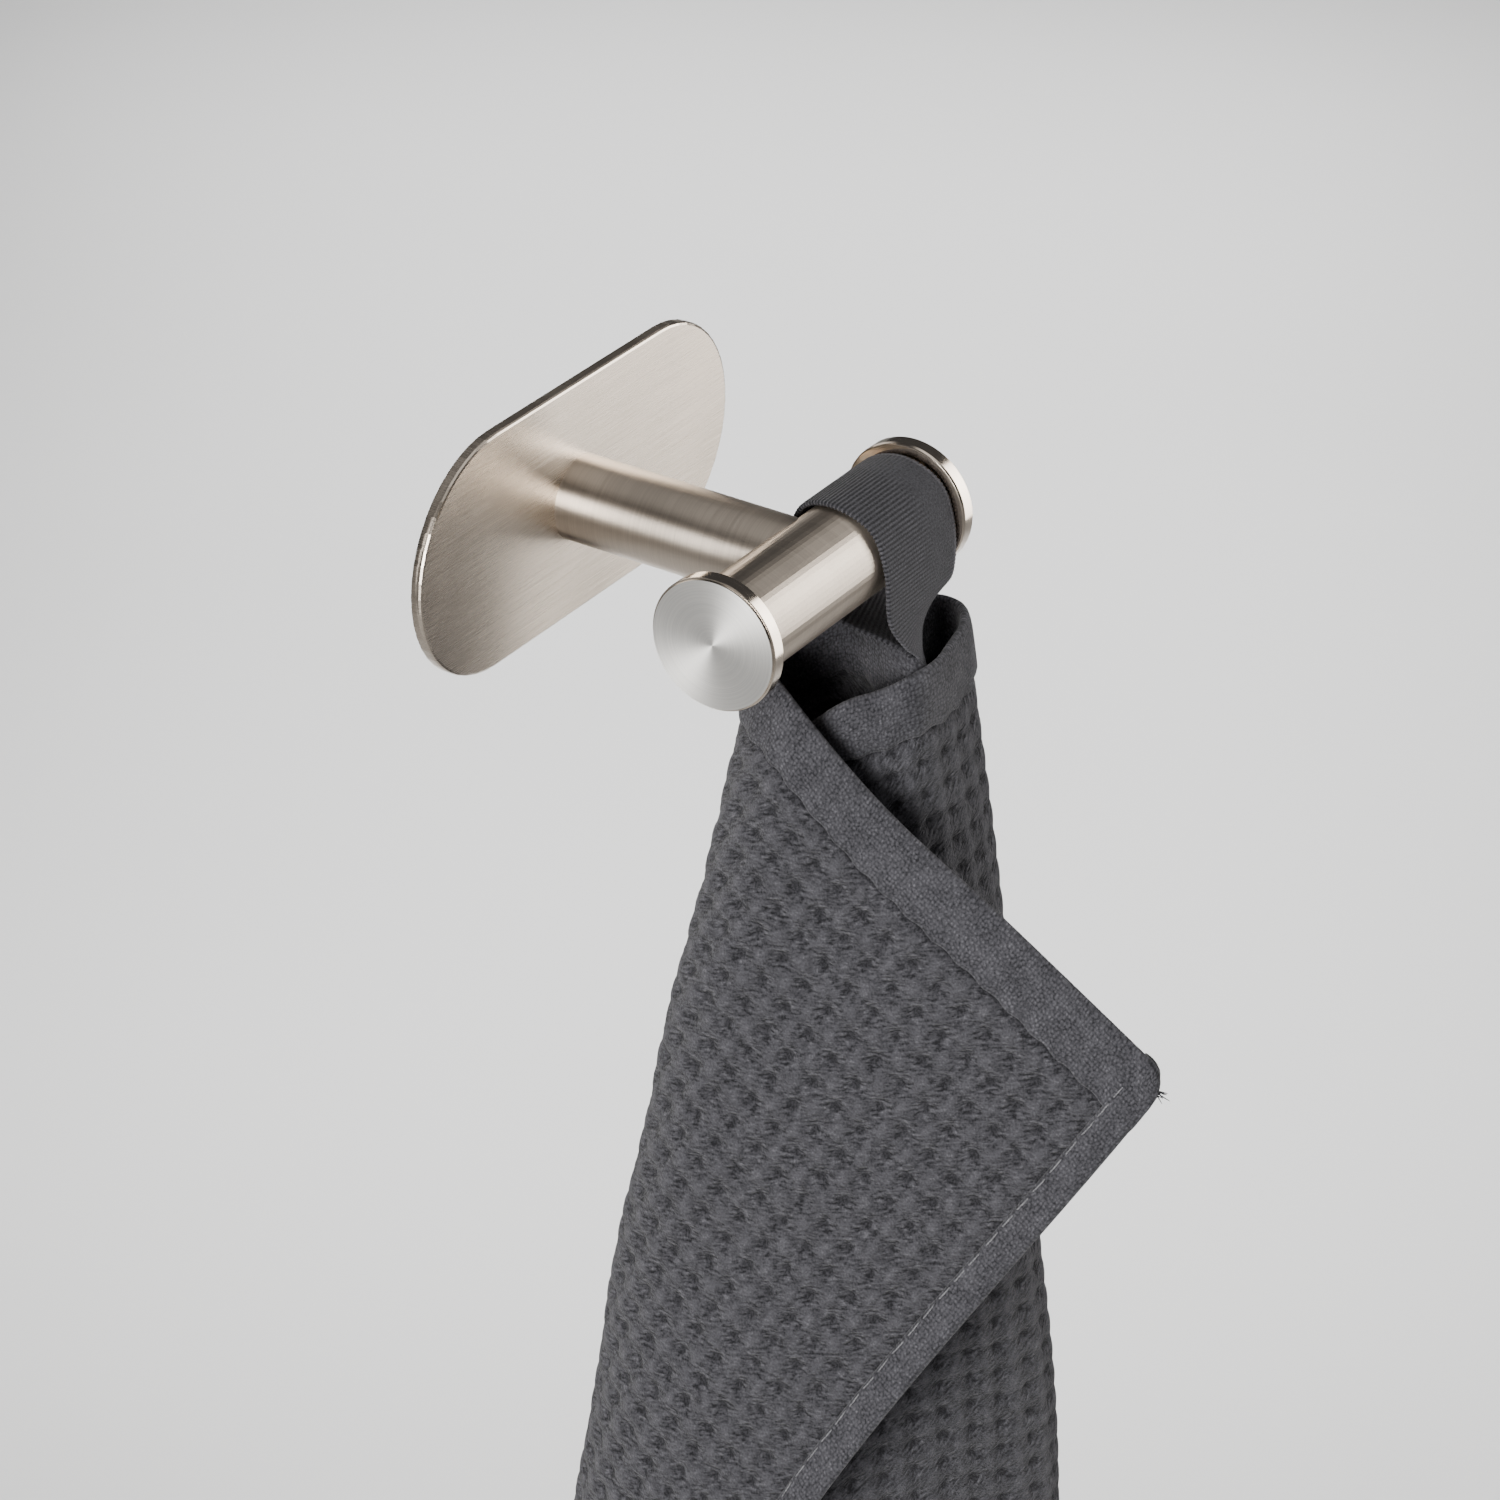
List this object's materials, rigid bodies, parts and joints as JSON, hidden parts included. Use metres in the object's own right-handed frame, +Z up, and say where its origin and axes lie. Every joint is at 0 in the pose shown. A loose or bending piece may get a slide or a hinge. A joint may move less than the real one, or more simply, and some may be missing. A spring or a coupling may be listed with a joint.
{
  "type": "towel on a hook",
  "caption": "Waffle towel hung by its tape loop from a steel crossbar hook with a wall plate, the top corner folded over in front.",
  "frame": {"origin": "centre of the wall plate's back face, on the wall's surface", "axes": "+Y into the wall, so -Y points out of it; +X along the wall and the crossbar, to the right as seen from the front; +Z up"},
  "size_m": [0.1032, 0.1164, 0.576],
  "materials": {
    "waffle_cloth": "matt dark grey cotton in a waffle weave",
    "ribbed_tape": "matt dark grey cotton tape with fine ribs",
    "plate_steel": "stainless steel brushed along its length",
    "bar_steel": "stainless steel, finely brushed round the bar",
    "cap_steel": "stainless steel with a face turned in circles"
  },
  "bodies": {
    "root": {"towel": "waffle_cloth", "hanging_loop": "ribbed_tape", "wall_plate": "plate_steel", "post": "bar_steel", "crossbar": "bar_steel", "end_cap_left": "cap_steel", "end_cap_right": "cap_steel"}
  },
  "joints": []
}
